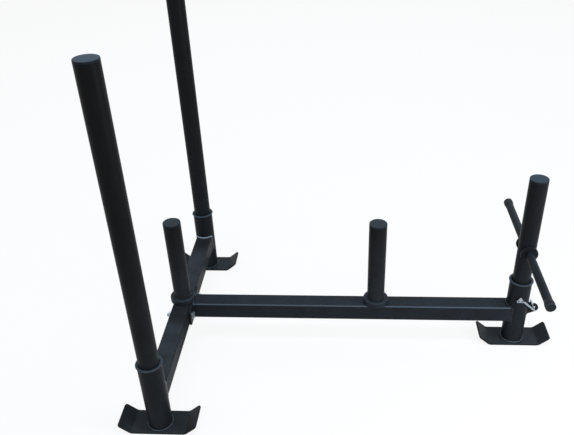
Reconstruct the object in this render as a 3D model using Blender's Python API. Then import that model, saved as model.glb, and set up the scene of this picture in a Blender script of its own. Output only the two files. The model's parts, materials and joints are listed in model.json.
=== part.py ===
"""Weight sled: a T-shaped frame of square tube on three bent skids, with lift-out push posts.

Lengths are in metres. +X is the tow end, +Y the left side, +Z up. The origin is on the floor,
half way between the line of the two rear sockets and the front socket.
"""

import math

import bmesh
import bpy
from mathutils import Matrix, Vector

# Every welded, bolted or sliding pair of faces keeps this gap.
GAP = 0.0003

# Plan of the sled.
spine_span = 0.955
track_width = 0.700
mid_post_offset = 0.556

# Skids: a flat plate with both ends bent up.
skid_thickness = 0.005
skid_width = 0.075
skid_flat = 0.126
skid_bend_radius = 0.015
skid_wing_angle = math.radians(40)
skid_wing_length = 0.034
skid_corner_radius = 0.007

# Square beams.
beam_size = 0.050
beam_wall = 0.003
beam_corner_radius = 0.005
beam_underside = 0.077

# Lift-out posts and the sockets that hold them. Each socket's mouth has a thicker lip.
post_outer = 0.0508
post_wall = 0.003
push_post_length = 0.9435
front_post_outer = 0.0483
front_post_length = 0.513
socket_clearance = 0.00185
socket_wall = 0.0029
socket_length = 0.204
socket_lip_width = 0.0029
socket_lip_height = 0.0035
socket_lip_radius = 0.0012

# Weight posts, each with a stand-off ring round its foot.
weight_post_outer = 0.0483
weight_post_length = 0.2555
ring_clearance = 0.0036
ring_wall = 0.00725
ring_height = 0.016
ring_edge_radius = 0.004

# End caps, pushed into the tubes.
cap_flange_height = 0.005
cap_edge_radius = 0.0015
cap_crown = 0.0004
cap_plug_depth = 0.018
cap_plug_wall = 0.002

# Bolted joint between the spine and the cross member.
flange_width = 0.120
flange_thickness = 0.006
flange_corner_radius = 0.003
bolt_spacing = 0.087
bolt_diameter = 0.010
bolt_head_width = 0.016
bolt_head_height = 0.0064
bolt_hole_clearance = 0.0005
washer_outer = 0.020
washer_thickness = 0.002
nut_height = 0.0084
bolt_tail = 0.004

# Handle bar through the front post.
handle_height = 0.311
handle_length = 0.500
handle_outer = 0.022
handle_wall = 0.002
handle_cap_wall = 0.0015
handle_cap_length = 0.024
collar_outer = 0.046
collar_thickness = 0.006
collar_edge_radius = 0.001

# Tow tab on the front socket.
tab_height = 0.111
tab_reach = 0.048
tab_thickness = 0.008
tab_nose_radius = 0.0125
tab_hole = 0.012
tab_root_rise = 0.018
tab_root_drop = 0.021

# Snap hook, clipped through the tow tab.
hook_wire = 0.006
hook_side_clearance = 0.0028
hook_gate_room = 0.0054
hook_edge_clearance = 0.0010
hook_lean = math.radians(22)
hook_bend_radius = 0.0055
hook_run = 0.049
hook_rise = 0.0503
eye_side = 0.022
eye_thickness = 0.004
eye_corner_radius = 0.0022
eye_hole = 0.0042
eye_hole_spacing = 0.0092
eye_setback = 0.0081
eye_lift = 0.0031
gate_pin_diameter = 0.0016
gate_pin_clearance = 0.0003
gate_barrel_outer = 0.0038
gate_wire = 0.0024
gate_ear_thickness = 0.0010
gate_pivot_offset = 0.0046

# Sides of a round piece and steps of a small arc.
ROUND_SIDES = 32
SMALL_SIDES = 24
WIRE_SIDES = 12
ARC_STEPS = 4

# Places that follow from the sizes above.
REAR_X = -spine_span / 2
FRONT_X = spine_span / 2
MID_X = REAR_X + mid_post_offset
SIDE_Y = track_width / 2
BEAM_TOP = beam_underside + beam_size
BEAM_CENTRE = beam_underside + beam_size / 2
SOCKET_INNER = post_outer / 2 + socket_clearance
SOCKET_OUTER = SOCKET_INNER + socket_wall
POST_FOOT = skid_thickness + GAP

for old in list(bpy.data.objects):
    bpy.data.objects.remove(old)


def material(name, colour, roughness, metallic):
    made = bpy.data.materials.new(name)
    made.use_nodes = True
    shader = made.node_tree.nodes["Principled BSDF"]
    shader.inputs["Base Color"].default_value = (*colour, 1)
    shader.inputs["Roughness"].default_value = roughness
    shader.inputs["Metallic"].default_value = metallic
    return made


def assembly(name, place, parent=None):
    """An empty at a joint's origin, in world coordinates, which carries one moving group."""
    empty = bpy.data.objects.new(name, None)
    empty.empty_display_size = 0.05
    bpy.context.scene.collection.objects.link(empty)
    seat(empty, place, parent)
    return empty


def seat(obj, place, parent):
    """Puts an object at a world place under its assembly. The assemblies are never turned."""
    obj["place"] = tuple(place)
    origin = Vector(parent["place"]) if parent else Vector()
    obj.parent = parent
    obj.location = Vector(place) - origin


def finish_mesh(bm, name, place, parent, finish, turn=None):
    """Turns a bmesh in its own frame into a named, smooth-shaded object."""
    bmesh.ops.recalc_face_normals(bm, faces=bm.faces)
    mesh = bpy.data.meshes.new(name)
    bm.to_mesh(mesh)
    bm.free()
    mesh.shade_smooth()
    mesh.set_sharp_from_angle(angle=math.radians(35))
    mesh.materials.append(finish)
    obj = bpy.data.objects.new(name, mesh)
    bpy.context.scene.collection.objects.link(obj)
    seat(obj, place, parent)
    if turn:
        obj.rotation_euler = turn
    return obj


def loft(rings, closed=False):
    """A bmesh through rings of equally many points. An open loft gets a flat face at each end."""
    bm = bmesh.new()
    rows = [[bm.verts.new(point) for point in ring] for ring in rings]
    count = len(rows[0])
    pairs = list(zip(rows, rows[1:]))
    if closed:
        pairs.append((rows[-1], rows[0]))
    for low, high in pairs:
        for i in range(count):
            j = (i + 1) % count
            bm.faces.new((low[i], low[j], high[j], high[i]))
    if not closed:
        bm.faces.new(rows[0])
        bm.faces.new(rows[-1])
    return bm


def circle(radius, height, sides=ROUND_SIDES):
    step = 2 * math.pi / sides
    return [Vector((radius * math.cos(i * step), radius * math.sin(i * step), height)) for i in range(sides)]


def hexagon(width, height, sides=SMALL_SIDES):
    """A ring of points on a hexagon whose flats are this far apart."""
    points = []
    for i in range(sides):
        angle = 2 * math.pi * i / sides
        off_flat = (angle + math.pi / 6) % (math.pi / 3) - math.pi / 6
        radius = width / 2 / math.cos(off_flat)
        points.append(Vector((radius * math.cos(angle), radius * math.sin(angle), height)))
    return points


def arc(centre_r, centre_z, radius, start, end, steps=ARC_STEPS):
    """(radius, height) pairs along a round edge of a turned piece. The angles are in degrees."""
    pairs = []
    for i in range(steps + 1):
        angle = math.radians(start + (end - start) * i / steps)
        pairs.append((centre_r + radius * math.cos(angle), centre_z + radius * math.sin(angle)))
    return pairs


def turned(profile, closed=True, sides=ROUND_SIDES):
    """Turns (radius, height) pairs round Z. A closed profile leaves a bore, an open one is capped."""
    return loft([circle(r, z, sides) for r, z in profile], closed)


def tube_profile(outer, inner, length, chamfer=0.0):
    """Profile of a plain tube standing on height 0, its outer and inner rims chamfered."""
    if not chamfer:
        return [(outer, 0), (outer, length), (inner, length), (inner, 0)]
    return [
        (outer, 0),
        (outer, length - chamfer),
        (outer - chamfer, length),
        (inner + chamfer, length),
        (inner, length - chamfer),
        (inner, 0),
    ]


def rounded_outline(corners, radius, steps=ARC_STEPS):
    """A closed 2-D outline with each corner turned into an arc."""
    count = len(corners)
    points = []
    for i in range(count):
        points += corner_arc(corners[i - 1], corners[i], corners[(i + 1) % count], radius, steps)
    return points


def corner_arc(before, corner, after, radius, steps):
    """Points of the arc that rounds one corner, in two or three dimensions."""
    inward = (before - corner).normalized()
    outward = (after - corner).normalized()
    half = inward.angle(outward) / 2
    centre = corner + (inward + outward).normalized() * (radius / math.sin(half))
    first = corner + inward * (radius / math.tan(half)) - centre
    last = corner + outward * (radius / math.tan(half)) - centre
    sweep = first.angle(last)
    points = []
    for i in range(steps + 1):
        share = i / steps
        points.append(
            centre
            + (first * math.sin((1 - share) * sweep) + last * math.sin(share * sweep)) / math.sin(sweep)
        )
    return points


def extruded(outline, low, high):
    """A plate from a 2-D outline in XZ, between two values of Y."""
    return loft([[Vector((p.x, y, p.y)) for p in outline] for y in (low, high)])


def cutter(bm, name, place, parent, turn=None):
    """A helper that cuts or joins, left out of the finished model."""
    tool = finish_mesh(bm, name, place, parent, tool_finish, turn)
    tool.hide_render = True
    tool.display_type = "WIRE"
    return tool


def boolean(obj, tool, operation="DIFFERENCE"):
    modifier = obj.modifiers.new(f"{operation.lower()} {tool.name}", "BOOLEAN")
    modifier.operation = operation
    modifier.object = tool
    modifier.solver = "EXACT"


powder_coat = material("black powder coat", (0.016, 0.018, 0.020), 0.42, 0.0)
cap_plastic = material("black moulded plastic", (0.020, 0.023, 0.027), 0.50, 0.0)
zinc = material("bright zinc plate", (0.55, 0.60, 0.64), 0.32, 1.0)
tool_finish = material("tool", (0.5, 0.1, 0.1), 0.5, 0.0)

ALONG_X = (0, math.radians(90), 0)
ALONG_Y = (math.radians(90), 0, 0)

frame = assembly("sled_frame", (0, 0, 0))


# Skids. Each is one strip of plate: a flat sole, two bends and two raised ends.


def skid_stations():
    """(x, z, slope, half width) down the middle of the plate's thickness, from one tip to the other."""
    half_flat = skid_flat / 2
    bend = [(half_flat, 0.0, 0.0)]
    for i in range(1, ARC_STEPS + 1):
        angle = skid_wing_angle * i / ARC_STEPS
        x = half_flat + skid_bend_radius * math.sin(angle)
        bend.append((x, skid_bend_radius * (1 - math.cos(angle)), angle))
    half = skid_width / 2
    right = [(x, z, angle, half) for x, z, angle in bend]
    start_x, start_z, slope = bend[-1]
    for i in range(ARC_STEPS + 1):
        turn = math.pi / 2 * i / ARC_STEPS
        along = skid_wing_length - skid_corner_radius * (1 - math.sin(turn))
        width = half - skid_corner_radius * (1 - math.cos(turn))
        right.append((start_x + along * math.cos(slope), start_z + along * math.sin(slope), slope, width))
    left = [(-x, z, -angle, width) for x, z, angle, width in reversed(right)]
    return left + right


def skid(name, x, y):
    rings = []
    for along, rise, slope, half in skid_stations():
        lift = Vector((-math.sin(slope), 0, math.cos(slope))) * (skid_thickness / 2)
        middle = Vector((along, 0, rise + skid_thickness / 2))
        side = Vector((0, half, 0))
        rings.append([middle - side - lift, middle + side - lift, middle + side + lift, middle - side + lift])
    return finish_mesh(loft(rings), name, (x, y, 0), frame, powder_coat)


skid("skid_left", REAR_X, SIDE_Y)
skid("skid_right", REAR_X, -SIDE_Y)
skid("skid_front", FRONT_X, 0)


# Sockets. Short lengths of a larger tube, welded upright on the skids, with a lip round the mouth.


def socket(name, x, y):
    lip = SOCKET_OUTER + socket_lip_width
    under = socket_length - socket_lip_height
    r = socket_lip_radius
    profile = [(SOCKET_OUTER, 0), (SOCKET_OUTER, under)]
    profile += arc(lip - r, under + r, r, -90, 0, 2) + arc(lip - r, socket_length - r, r, 0, 90, 3)
    profile += [(SOCKET_INNER + r / 2, socket_length), (SOCKET_INNER, socket_length - r / 2)]
    profile += [(SOCKET_INNER, 0)]
    return finish_mesh(turned(profile), name, (x, y, skid_thickness + GAP), frame, powder_coat)


socket("socket_left", REAR_X, SIDE_Y)
socket("socket_right", REAR_X, -SIDE_Y)
socket("socket_front", FRONT_X, 0)


# Beams. Square tube with its ends cut to saddle shapes that wrap the round sockets.


def square_section(size, radius):
    half = size / 2
    corners = [Vector((half, half)), Vector((-half, half)), Vector((-half, -half)), Vector((half, -half))]
    return rounded_outline(corners, radius)


def square_tube(length):
    """A square tube along Z with its middle at the origin."""
    outer = square_section(beam_size, beam_corner_radius)
    inner = square_section(beam_size - 2 * beam_wall, max(beam_corner_radius - beam_wall, 0.0005))
    ends = (-length / 2, length / 2)
    rings = [[Vector((p.x, p.y, z)) for p in outer] for z in ends]
    rings += [[Vector((p.x, p.y, z)) for p in inner] for z in reversed(ends)]
    return loft(rings, closed=True)


def socket_saddle(name, x, y):
    """The cylinder that gives a beam's end its saddle, a gap larger than the socket."""
    height = 3 * beam_size
    rod = loft([circle(SOCKET_OUTER + GAP, z) for z in (-height / 2, height / 2)])
    return cutter(rod, name, (x, y, BEAM_CENTRE), frame)


def bolt_drill(name, y):
    length = beam_size + 4 * flange_thickness
    radius = (bolt_diameter + bolt_hole_clearance) / 2
    rod = loft([circle(radius, z, SMALL_SIDES) for z in (-length, length)])
    return cutter(rod, name, (REAR_X, y, BEAM_CENTRE), frame, ALONG_X)


bolt_drills = [bolt_drill("bolt_drill_left", bolt_spacing / 2), bolt_drill("bolt_drill_right", -bolt_spacing / 2)]

cross_member = finish_mesh(
    square_tube(track_width), "cross_member", (REAR_X, 0, BEAM_CENTRE), frame, powder_coat, ALONG_Y
)
boolean(cross_member, socket_saddle("saddle_left", REAR_X, SIDE_Y))
boolean(cross_member, socket_saddle("saddle_right", REAR_X, -SIDE_Y))
for drill in bolt_drills:
    boolean(cross_member, drill)

flange_x = REAR_X + beam_size / 2 + GAP + flange_thickness / 2
spine_start = flange_x + flange_thickness / 2 + GAP
spine_length = FRONT_X - spine_start
spine = finish_mesh(
    square_tube(spine_length),
    "spine",
    (spine_start + spine_length / 2, 0, BEAM_CENTRE),
    frame,
    powder_coat,
    ALONG_X,
)
boolean(spine, socket_saddle("saddle_front", FRONT_X, 0))


# Spine flange: a plate across the spine's rear end, bolted through the cross member.


def spine_flange():
    half_width, half_height = flange_width / 2, beam_size / 2
    corners = [
        Vector((half_height, half_width)),
        Vector((-half_height, half_width)),
        Vector((-half_height, -half_width)),
        Vector((half_height, -half_width)),
    ]
    outline = rounded_outline(corners, flange_corner_radius)
    half = flange_thickness / 2
    rings = [[Vector((p.x, p.y, z)) for p in outline] for z in (-half, half)]
    return finish_mesh(loft(rings), "spine_flange", (flange_x, 0, BEAM_CENTRE), frame, powder_coat, ALONG_X)


plate = spine_flange()
for drill in bolt_drills:
    boolean(plate, drill)


# Bolts, washers and nuts of that joint. The heads are on the spine's side.

head_seat = flange_x + flange_thickness / 2 + GAP + washer_thickness + GAP
nut_seat = REAR_X - beam_size / 2 - GAP - washer_thickness - GAP
hex_chamfer = 0.06 * bolt_head_width


def flange_bolt(name, y):
    """Hexagon bolt along its own +Z, with its head's seat at height 0 and the shank below it."""
    end = nut_seat - nut_height - GAP - bolt_tail - head_seat
    shank = bolt_diameter / 2
    face = bolt_head_width / 2 - hex_chamfer / 2
    rings = [
        circle(shank - hex_chamfer, end, SMALL_SIDES),
        circle(shank, end + hex_chamfer, SMALL_SIDES),
        circle(shank, 0, SMALL_SIDES),
        hexagon(bolt_head_width, 0),
        hexagon(bolt_head_width, bolt_head_height - hex_chamfer),
        circle(face, bolt_head_height, SMALL_SIDES),
    ]
    return finish_mesh(loft(rings), name, (head_seat, y, BEAM_CENTRE), frame, zinc, ALONG_X)


def washer(name, x, y):
    inner = (bolt_diameter + bolt_hole_clearance) / 2
    profile = tube_profile(washer_outer / 2, inner, washer_thickness)
    return finish_mesh(turned(profile, sides=SMALL_SIDES), name, (x, y, BEAM_CENTRE), frame, zinc, ALONG_X)


def nut(name, y):
    bore = bolt_diameter / 2 + GAP
    face = bolt_head_width / 2 - hex_chamfer / 2
    rings = [
        circle(face, 0, SMALL_SIDES),
        hexagon(bolt_head_width, hex_chamfer),
        hexagon(bolt_head_width, nut_height - hex_chamfer),
        circle(face, nut_height, SMALL_SIDES),
        circle(bore, nut_height, SMALL_SIDES),
        circle(bore, 0, SMALL_SIDES),
    ]
    place = (nut_seat - nut_height, y, BEAM_CENTRE)
    return finish_mesh(loft(rings, closed=True), name, place, frame, zinc, ALONG_X)


for side, y in (("left", bolt_spacing / 2), ("right", -bolt_spacing / 2)):
    flange_bolt(f"flange_bolt_{side}", y)
    washer(f"head_washer_{side}", head_seat - GAP - washer_thickness, y)
    washer(f"nut_washer_{side}", nut_seat + GAP, y)
    nut(f"flange_nut_{side}", y)


# End caps: moulded plugs with a low crowned top, pushed into the tubes.


def cap_profile(tube_outer, tube_wall):
    """From the middle of the crown over the edge and down the plug, then up inside the plug."""
    outer = tube_outer / 2
    plug = outer - tube_wall - GAP
    inside = plug - cap_plug_wall
    middle = 0.4
    crown = [(outer * middle, cap_flange_height + cap_crown * (1 - middle * middle))]
    edge = arc(outer - cap_edge_radius, cap_flange_height - cap_edge_radius, cap_edge_radius, 90, 0, 3)
    plug_walls = [(outer, 0), (plug, 0), (plug, -cap_plug_depth), (inside, -cap_plug_depth)]
    return crown + edge + plug_walls + [(inside, 0)]


def post_cap(name, tube_outer, tube_wall, place, parent):
    profile = cap_profile(tube_outer, tube_wall)
    return finish_mesh(turned(profile, closed=False), name, place, parent, cap_plastic)


# Weight posts stand on the beams, each inside a thick ring that keeps plates off the frame.


def weight_post(position, x):
    foot = BEAM_TOP + GAP
    outer = weight_post_outer / 2
    profile = tube_profile(outer, outer - post_wall, weight_post_length)
    finish_mesh(turned(profile), f"weight_post_{position}", (x, 0, foot), frame, powder_coat)
    top = foot + weight_post_length + GAP
    post_cap(f"weight_post_cap_{position}", weight_post_outer, post_wall, (x, 0, top), frame)
    inner = outer + ring_clearance
    outside = inner + ring_wall
    upper = ring_height - ring_edge_radius
    profile = [(outside, 0)]
    profile += arc(outside - ring_edge_radius, upper, ring_edge_radius, 0, 90)
    profile += [(inner + ring_edge_radius / 4, ring_height), (inner, ring_height - ring_edge_radius / 4)]
    profile += [(inner, 0)]
    finish_mesh(turned(profile), f"weight_ring_{position}", (x, 0, foot), frame, powder_coat)


weight_post("rear", REAR_X)
weight_post("mid", MID_X)


# Lift-out posts. Each stands on its skid inside the socket and carries its own cap.


def lift_out_post(name, x, y, outer_diameter, length):
    lift = assembly(f"{name}_lift", (x, y, POST_FOOT), frame)
    outer = outer_diameter / 2
    tube = turned(tube_profile(outer, outer - post_wall, length))
    post = finish_mesh(tube, name, (x, y, POST_FOOT), lift, powder_coat)
    post_cap(f"{name}_cap", outer_diameter, post_wall, (x, y, POST_FOOT + length + GAP), lift)
    return lift, post


lift_out_post("push_post_left", REAR_X, SIDE_Y, post_outer, push_post_length)
lift_out_post("push_post_right", REAR_X, -SIDE_Y, post_outer, push_post_length)
front_lift, front_post = lift_out_post("front_post", FRONT_X, 0, front_post_outer, front_post_length)


# Handle bar: a thin tube through two holes in the front post, held by a collar on each side.

handle_place = (FRONT_X, 0, handle_height)
handle_drill = loft([
    circle(handle_outer / 2 + GAP, z, SMALL_SIDES) for z in (-front_post_outer, front_post_outer)
])
boolean(front_post, cutter(handle_drill, "handle_drill", handle_place, front_lift, ALONG_Y))

bar_half = handle_length / 2 - handle_cap_wall - GAP


def handle_bar():
    outer, inner = handle_outer / 2, handle_outer / 2 - handle_wall
    rings = [circle(r, z, SMALL_SIDES) for r, z in (
        (outer, -bar_half), (outer, bar_half), (inner, bar_half), (inner, -bar_half)
    )]
    bar = loft(rings, closed=True)
    return finish_mesh(bar, "handle_bar", handle_place, front_lift, powder_coat, ALONG_Y)


def handle_collar(name, side):
    """A disc against the post's side, round the bar. It is turned so that its back faces the post."""
    bore, outer = handle_outer / 2 + GAP, collar_outer / 2
    rim = collar_thickness - collar_edge_radius
    profile = [(outer, 0)]
    profile += arc(outer - collar_edge_radius, rim, collar_edge_radius, 0, 90, 2)
    profile += [(bore, collar_thickness), (bore, 0)]
    place = (FRONT_X, side * (front_post_outer / 2 + GAP), handle_height)
    turn = (math.radians(-90 * side), 0, 0)
    return finish_mesh(turned(profile, sides=SMALL_SIDES), name, place, front_lift, powder_coat, turn)


def handle_cap(name, side):
    """A thin moulded cap over the bar's end, domed at its closed end."""
    bore = handle_outer / 2 + GAP
    outer = bore + handle_cap_wall
    edge = 3 * handle_cap_wall
    end = handle_cap_length
    shoulder = end - edge
    profile = [(outer * 0.3, end)]
    profile += arc(outer - edge, shoulder, edge, 90, 0, 3)
    profile += [(outer, 0), (bore, 0), (bore, end - handle_cap_wall), (bore * 0.3, end - handle_cap_wall)]
    cap = turned(profile, closed=False, sides=SMALL_SIDES)
    place = (FRONT_X, side * (handle_length / 2 - handle_cap_length), handle_height)
    turn = (math.radians(-90 * side), 0, 0)
    return finish_mesh(cap, name, place, front_lift, cap_plastic, turn)


handle_bar()
for side_name, side in (("left", 1), ("right", -1)):
    handle_collar(f"handle_collar_{side_name}", side)
    handle_cap(f"handle_cap_{side_name}", side)


# Tow tab: a plate with a rounded nose and one hole, welded upright on the front socket.

hole_centre = Vector((FRONT_X + tab_reach, 0, tab_height))


root_x = SOCKET_OUTER + GAP - tab_reach
root_top = Vector((root_x, tab_root_rise))
root_low = Vector((root_x, -tab_root_drop))


def nose_tangent(corner):
    """Angle on the nose where a straight edge from this corner of the root meets it."""
    turn = math.acos(tab_nose_radius / corner.length)
    return math.atan2(corner.y, corner.x) - math.copysign(turn, corner.y)


def tow_tab():
    """The outline runs round the nose, then along its two straight edges to the root."""
    start, end = math.degrees(nose_tangent(root_top)), math.degrees(nose_tangent(root_low))
    nose = arc(0, 0, tab_nose_radius, start, end, 3 * ARC_STEPS)
    outline = [Vector(pair) for pair in nose] + [root_low, root_top]
    half = tab_thickness / 2
    return finish_mesh(extruded(outline, -half, half), "tow_tab", hole_centre, frame, powder_coat)


tab = tow_tab()
hole_rod = loft([circle(tab_hole / 2, z, SMALL_SIDES) for z in (-tab_thickness, tab_thickness)])
boolean(tab, cutter(hole_rod, "tab_hole_drill", hole_centre, frame, ALONG_Y))


# Snap hook: one bent rod that passes through the tab's hole and back over its edge. Its shank
# lies against the front socket and ends in a triangular eye. A sprung gate closes its mouth.

wire_radius = hook_wire / 2
pivot_drop = tab_hole / 2 - wire_radius - GAP
hook_pivot = hole_centre - Vector((0, 0, pivot_drop))
hook_swing = assembly("hook_swing", hook_pivot, frame)

loop_up = Vector((-math.sin(hook_lean), 0, math.cos(hook_lean)))
across = Vector((0, 1, 0))
loop_normal = across.cross(loop_up)
loop_far = tab_thickness / 2 + hook_side_clearance + wire_radius
loop_near = -(tab_thickness / 2 + hook_gate_room + wire_radius)


def loop_top():
    """How far from the hole the rod turns over, so that it clears the tab's sloping upper edge."""
    angle = nose_tangent(root_top)
    normal = Vector((math.cos(angle), math.sin(angle)))
    lean = Vector((loop_up.x, loop_up.z))
    edge = tab_nose_radius + pivot_drop * normal.y
    return (edge + hook_edge_clearance + wire_radius) / lean.dot(normal)


loop_height = loop_top()


def in_loop(s, t):
    """A place in the loop's plane: s across the tab, t up from the rod in the hole."""
    return across * s + loop_up * t


def shank_direction():
    """Level direction in which the shank just clears the round socket on its near side."""
    start = Vector((tab_reach, loop_near))
    reach = start.length
    clear = SOCKET_OUTER + wire_radius + GAP
    heading = math.atan2(-start.y, -start.x) + math.asin(min(clear / reach, 1.0))
    return Vector((math.cos(heading), math.sin(heading), 0))


def swept(points, radii, sides=WIRE_SIDES):
    """A round rod along a 3-D route, with a radius at each point and no twist along it."""
    tangents = []
    for i in range(len(points)):
        tangents.append((points[min(i + 1, len(points) - 1)] - points[max(i - 1, 0)]).normalized())
    side = tangents[0].orthogonal().normalized()
    rings = []
    for point, tangent, radius in zip(points, tangents, radii):
        side = (side - tangent * side.dot(tangent)).normalized()
        other = tangent.cross(side)
        rings.append([
            point + radius * (side * math.cos(angle) + other * math.sin(angle))
            for angle in (2 * math.pi * i / sides for i in range(sides))
        ])
    return loft(rings)


shank_start = in_loop(loop_near, 0)
shank_end = shank_start + shank_direction() * hook_run + Vector((0, 0, hook_rise))


def hook_rod():
    """The rod from its rounded tip over the tab, down, through the hole and up the shank."""
    tip = in_loop(loop_near + wire_radius / 2, loop_height)
    corners = [tip, in_loop(loop_far, loop_height), in_loop(loop_far, 0), shank_start, shank_end]
    route = [tip + across * (wire_radius * inset) for inset in (0.0, 0.12, 0.4)]
    radii = [wire_radius * share for share in (0.55, 0.85, 1.0)]
    for i in range(1, len(corners) - 1):
        route += corner_arc(corners[i - 1], corners[i], corners[i + 1], hook_bend_radius, 2 * ARC_STEPS)
    shank = (shank_end - shank_start).normalized()
    route += [shank_end - shank * eye_thickness * 2, shank_end]
    radii += [wire_radius] * (len(route) - len(radii) - 1) + [eye_thickness * 0.4]
    return swept(route, radii)


def hook_eye():
    """Triangular eye plate, level along its lower edge, in world axes round the hook's pivot."""
    height = eye_side * math.sqrt(3) / 2
    low = -height / 3
    corners = [Vector((-eye_side / 2, low)), Vector((eye_side / 2, low)), Vector((0, low + height))]
    outline = rounded_outline(corners, eye_corner_radius)
    return extruded(outline, -eye_thickness / 2, eye_thickness / 2)


eye_centre = hook_pivot + shank_end + Vector((-eye_setback, 0, eye_lift))
gate_pivot = hook_pivot + in_loop(loop_near + gate_pivot_offset, gate_pivot_offset)
loop_frame = Matrix((across, loop_up, loop_normal)).transposed()
loop_turn = loop_frame.to_euler()
barrel_half = wire_radius - gate_ear_thickness - 2 * GAP


def gate_ears():
    """A boss that joins the pin's place to the rod's inner bend. The slot splits it into two ears."""
    reach = gate_pivot_offset
    half = gate_barrel_outer / 2
    corners = [Vector((-reach, -half)), Vector((half, -half)), Vector((half, half)), Vector((-reach, half))]
    outline = rounded_outline(corners, half * 0.6)
    thick = wire_radius - GAP
    return loft([[Vector((p.x, p.y, z)) for p in outline] for z in (-thick, thick)])


def gate_slot():
    """Room between the ears for the gate's barrel, open upwards for its arm."""
    half = barrel_half + GAP
    reach = gate_barrel_outer / 2 + GAP
    top = 2 * reach
    corners = [Vector(pair) for pair in ((-reach, -reach), (reach, -reach), (reach, top), (-reach, top))]
    outline = rounded_outline(corners, 0.9 * reach)
    return loft([[Vector((p.x, p.y, z)) for p in outline] for z in (-half, half)])


snap_hook = finish_mesh(hook_rod(), "snap_hook", hook_pivot, hook_swing, zinc)
eye = cutter(hook_eye(), "hook_eye_tool", eye_centre, hook_swing)
for offset in (-eye_hole_spacing / 2, eye_hole_spacing / 2):
    drill = loft([circle(eye_hole / 2, z, WIRE_SIDES) for z in (-eye_thickness, eye_thickness)])
    drop = eye_side * math.sqrt(3) / 6 - eye_hole
    place = eye_centre + Vector((offset, 0, -drop))
    side_name = "inner" if offset < 0 else "outer"
    boolean(eye, cutter(drill, f"eye_drill_{side_name}", place, hook_swing, ALONG_Y))
boolean(snap_hook, eye, "UNION")
boolean(snap_hook, cutter(gate_ears(), "gate_ears_tool", gate_pivot, hook_swing, loop_turn), "UNION")
boolean(snap_hook, cutter(gate_slot(), "gate_slot_tool", gate_pivot, hook_swing, loop_turn))
pin_drill = loft([
    circle(gate_pin_diameter / 2 + gate_pin_clearance, z, WIRE_SIDES) for z in (-hook_wire, hook_wire)
])
pin_tool = cutter(pin_drill, "gate_pin_drill", gate_pivot, hook_swing, loop_turn)
boolean(snap_hook, pin_tool)

pin = loft([circle(gate_pin_diameter / 2, z, WIRE_SIDES) for z in (-wire_radius, wire_radius)])
finish_mesh(pin, "gate_pin", gate_pivot, hook_swing, zinc, loop_turn)


# Gate: a small barrel on the pin with an arm that closes against the hook's tip from inside.

gate_hinge = assembly("gate_hinge", gate_pivot, hook_swing)


def gate_arm():
    """The arm leans out from the barrel to just under the middle of the hook's tip."""
    pivot = gate_pivot - hook_pivot
    top = in_loop(loop_near + wire_radius, loop_height - wire_radius - 2 * GAP)
    reach = top - pivot
    radius = gate_wire / 2
    return swept([reach * share for share in (0.0, 0.5, 0.95, 1.0)], [radius, radius, radius, 0.6 * radius])


barrel = loft([circle(gate_barrel_outer / 2, z, SMALL_SIDES) for z in (-barrel_half, barrel_half)])
hook_gate = finish_mesh(gate_arm(), "hook_gate", gate_pivot, gate_hinge, zinc)
boolean(hook_gate, cutter(barrel, "gate_barrel_tool", gate_pivot, gate_hinge, loop_turn), "UNION")
boolean(hook_gate, pin_tool)
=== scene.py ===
import json
from math import acos, asin, atan2, copysign, cos, degrees, pi, radians, sin, sqrt, tan

import bmesh
import bpy
from mathutils import Matrix, Vector


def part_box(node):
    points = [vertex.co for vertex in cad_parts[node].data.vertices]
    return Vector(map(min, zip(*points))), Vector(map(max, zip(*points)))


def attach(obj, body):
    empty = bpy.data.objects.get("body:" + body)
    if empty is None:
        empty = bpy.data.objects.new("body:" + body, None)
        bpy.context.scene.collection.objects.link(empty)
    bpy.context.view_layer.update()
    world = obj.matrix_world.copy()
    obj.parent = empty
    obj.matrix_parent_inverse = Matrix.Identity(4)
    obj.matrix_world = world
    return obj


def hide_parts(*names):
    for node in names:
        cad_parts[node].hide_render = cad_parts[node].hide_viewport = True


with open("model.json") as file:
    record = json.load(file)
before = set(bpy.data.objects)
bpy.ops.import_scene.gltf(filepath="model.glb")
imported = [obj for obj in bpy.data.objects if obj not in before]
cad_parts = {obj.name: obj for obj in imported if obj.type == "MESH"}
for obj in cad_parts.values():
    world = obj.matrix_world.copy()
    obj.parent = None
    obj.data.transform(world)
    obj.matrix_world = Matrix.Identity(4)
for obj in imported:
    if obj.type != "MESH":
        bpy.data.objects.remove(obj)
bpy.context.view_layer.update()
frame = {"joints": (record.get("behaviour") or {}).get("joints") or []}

# The camera stands in front of the sled's right side, a little above its posts, and looks down at
# it. Its place, turn, lens and small shift were solved from the sled's edges in the photograph.


def add_object(name, data):
    made = bpy.data.objects.new(name, data)
    bpy.context.scene.collection.objects.link(made)
    return made


camera = add_object("camera", bpy.data.cameras.new("camera"))
camera.location = (-0.0099, -1.5024, 1.3254)
camera.rotation_euler = [radians(angle) for angle in (57.726, 1.409, 2.871)]
camera.data.lens = 41.71
camera.data.sensor_width = 36
camera.data.shift_x, camera.data.shift_y = -0.0366, 0.0169
bpy.context.scene.camera = camera
bpy.context.scene.view_settings.view_transform = "Standard"


# The studio is a plain white floor under a white sky, with a long strip light overhead, a wide soft
# light behind the sled and a small one low beside its tow end. Floor and sky are white to the eye
# and in reflections, and only part of that white is light, so the floor keeps the sled's shadow.

floor_reach = 14.0
floor_white = "#f8f8f8"
floor_glow_share = 0.88
sky_light = 0.50


def colour(code):
    """A linear colour from an sRGB hex code."""
    parts = [int(code[i:i + 2], 16) / 255 for i in (1, 3, 5)]
    return (*(p / 12.92 if p <= 0.04045 else ((p + 0.055) / 1.055) ** 2.4 for p in parts), 1.0)


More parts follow.
